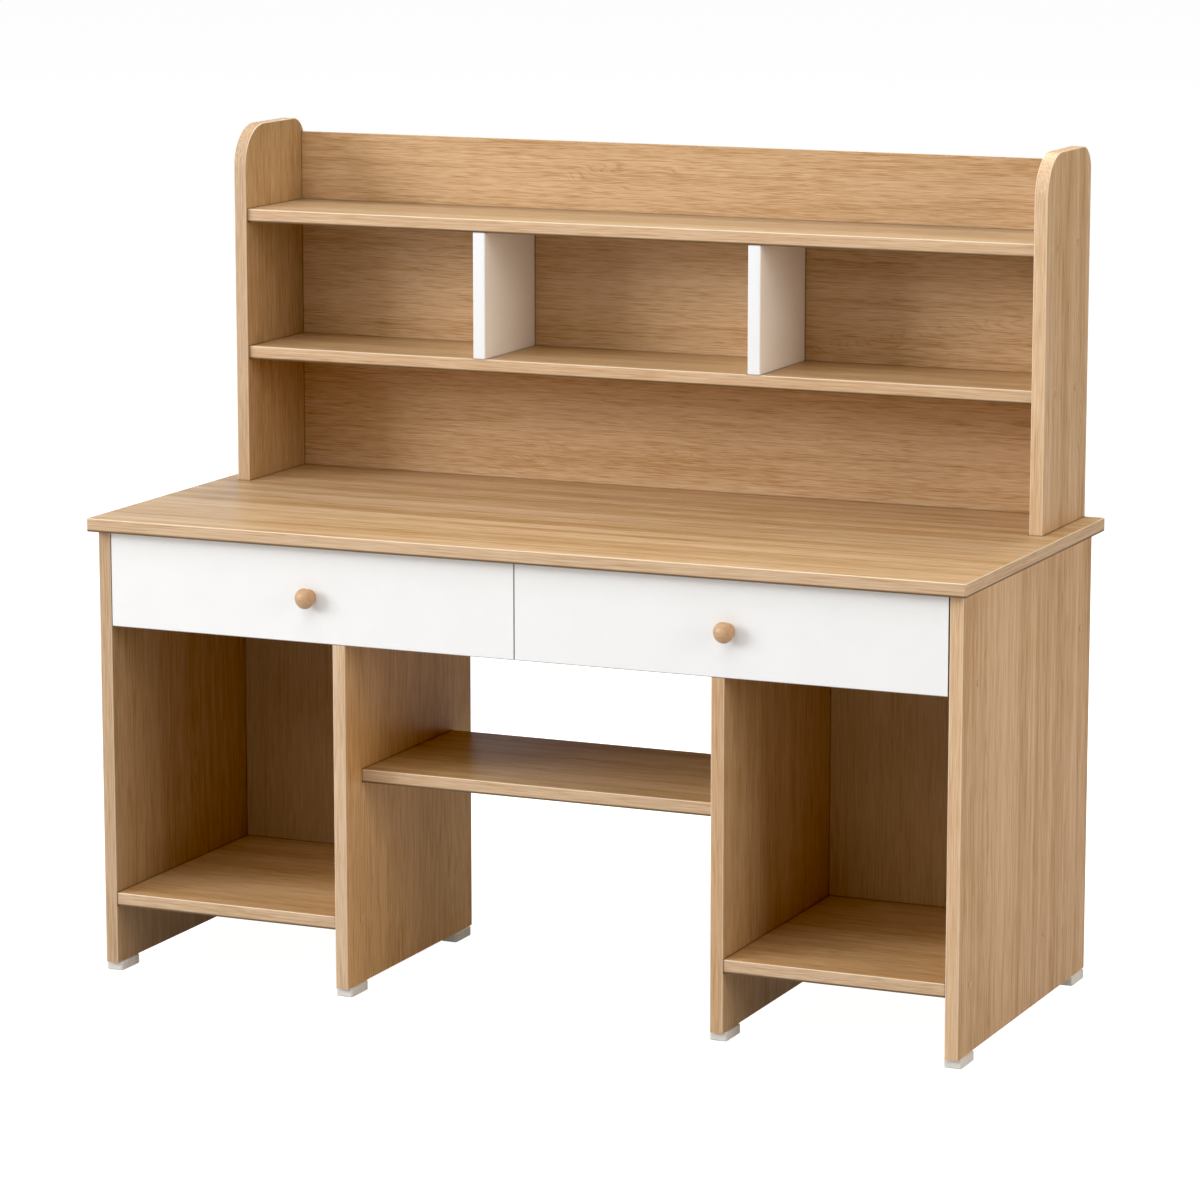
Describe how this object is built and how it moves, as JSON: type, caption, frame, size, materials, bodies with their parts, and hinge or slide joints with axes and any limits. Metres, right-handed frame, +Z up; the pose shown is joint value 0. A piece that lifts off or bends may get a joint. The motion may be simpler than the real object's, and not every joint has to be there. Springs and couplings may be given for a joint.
{
  "type": "desk",
  "caption": "Student desk with a hutch of shelves and cubbies, wide white drawers under the top, open pedestals and a kneehole shelf.",
  "frame": {"origin": "on the floor, in the middle of the desk's width and half-way between the knobs' tips and the rear edge", "axes": "+X to the right of a person facing the drawers, +Y to the rear, +Z up; the drawers open along -Y"},
  "size_m": [1.5, 0.677, 1.355],
  "materials": {
    "oak_board": "satin oak-grain melamine on particle board, edged to match",
    "white_board": "satin white melamine board",
    "drawer_board": "matt light oak-grain melamine board",
    "drawer_bottom": "matt faced hardboard",
    "knob_wood": "turned beech, satin lacquer",
    "dowel_wood": "fluted beech dowel, raw",
    "foot_plastic": "moulded off-white plastic",
    "cap_plastic": "thin wood-coloured cover cap",
    "slide_steel": "zinc-plated rolled steel",
    "ball_steel": "polished bearing steel",
    "screw_steel": "zinc-plated steel"
  },
  "bodies": {
    "desk": {"desktop": "oak_board", "left_side_panel": "oak_board", "right_side_panel": "oak_board", "left_inner_panel": "oak_board", "right_inner_panel": "oak_board", "left_pedestal_floor": "oak_board", "right_pedestal_floor": "oak_board", "left_pedestal_back": "oak_board", "right_pedestal_back": "oak_board", "kneehole_shelf": "oak_board", "drawer_deck": "oak_board", "centre_partition": "oak_board", "rear_apron": "oak_board", "hutch_left_side": "oak_board", "hutch_right_side": "oak_board", "hutch_back": "oak_board", "hutch_lower_shelf": "oak_board", "hutch_upper_shelf": "oak_board", "left_divider": "white_board", "right_divider": "white_board", "foot_left_outer_front": "foot_plastic", "foot_left_outer_rear": "foot_plastic", "foot_left_inner_front": "foot_plastic", "foot_left_inner_rear": "foot_plastic", "foot_right_inner_front": "foot_plastic", "foot_right_inner_rear": "foot_plastic", "foot_right_outer_front": "foot_plastic", "foot_right_outer_rear": "foot_plastic", "confirmat_screws": "screw_steel", "screw_caps": "cap_plastic", "dowels": "dowel_wood", "left_drawer_left_slide_cabinet_member": "slide_steel", "left_drawer_right_slide_cabinet_member": "slide_steel", "right_drawer_left_slide_cabinet_member": "slide_steel", "right_drawer_right_slide_cabinet_member": "slide_steel"},
    "left_drawer": {"left_drawer_front": "white_board", "left_drawer_left_side": "drawer_board", "left_drawer_right_side": "drawer_board", "left_drawer_back": "drawer_board", "left_drawer_bottom": "drawer_bottom", "left_knob": "knob_wood", "left_knob_bolt": "screw_steel", "left_drawer_left_slide_drawer_member": "slide_steel", "left_drawer_right_slide_drawer_member": "slide_steel"},
    "left_slide_middles": {"left_drawer_left_slide_middle_member": "slide_steel", "left_drawer_right_slide_middle_member": "slide_steel", "left_drawer_slide_balls": "ball_steel"},
    "right_drawer": {"right_drawer_front": "white_board", "right_drawer_left_side": "drawer_board", "right_drawer_right_side": "drawer_board", "right_drawer_back": "drawer_board", "right_drawer_bottom": "drawer_bottom", "right_knob": "knob_wood", "right_knob_bolt": "screw_steel", "right_drawer_left_slide_drawer_member": "slide_steel", "right_drawer_right_slide_drawer_member": "slide_steel"},
    "right_slide_middles": {"right_drawer_left_slide_middle_member": "slide_steel", "right_drawer_right_slide_middle_member": "slide_steel", "right_drawer_slide_balls": "ball_steel"}
  },
  "joints": [
    {"name": "left_drawer_slide", "type": "slide", "parent": "desk", "child": "left_drawer", "axis": [0, -1, 0], "range_m": [0, 0.4]},
    {"name": "left_middle_slide", "type": "slide", "parent": "desk", "child": "left_slide_middles", "axis": [0, -1, 0], "range_m": [0, 0.2]},
    {"name": "right_drawer_slide", "type": "slide", "parent": "desk", "child": "right_drawer", "axis": [0, -1, 0], "range_m": [0, 0.4]},
    {"name": "right_middle_slide", "type": "slide", "parent": "desk", "child": "right_slide_middles", "axis": [0, -1, 0], "range_m": [0, 0.2]}
  ],
  "couplings": [
    {"joint": "left_middle_slide", "follows": "left_drawer_slide", "ratio": 0.5},
    {"joint": "right_middle_slide", "follows": "right_drawer_slide", "ratio": 0.5}
  ]
}
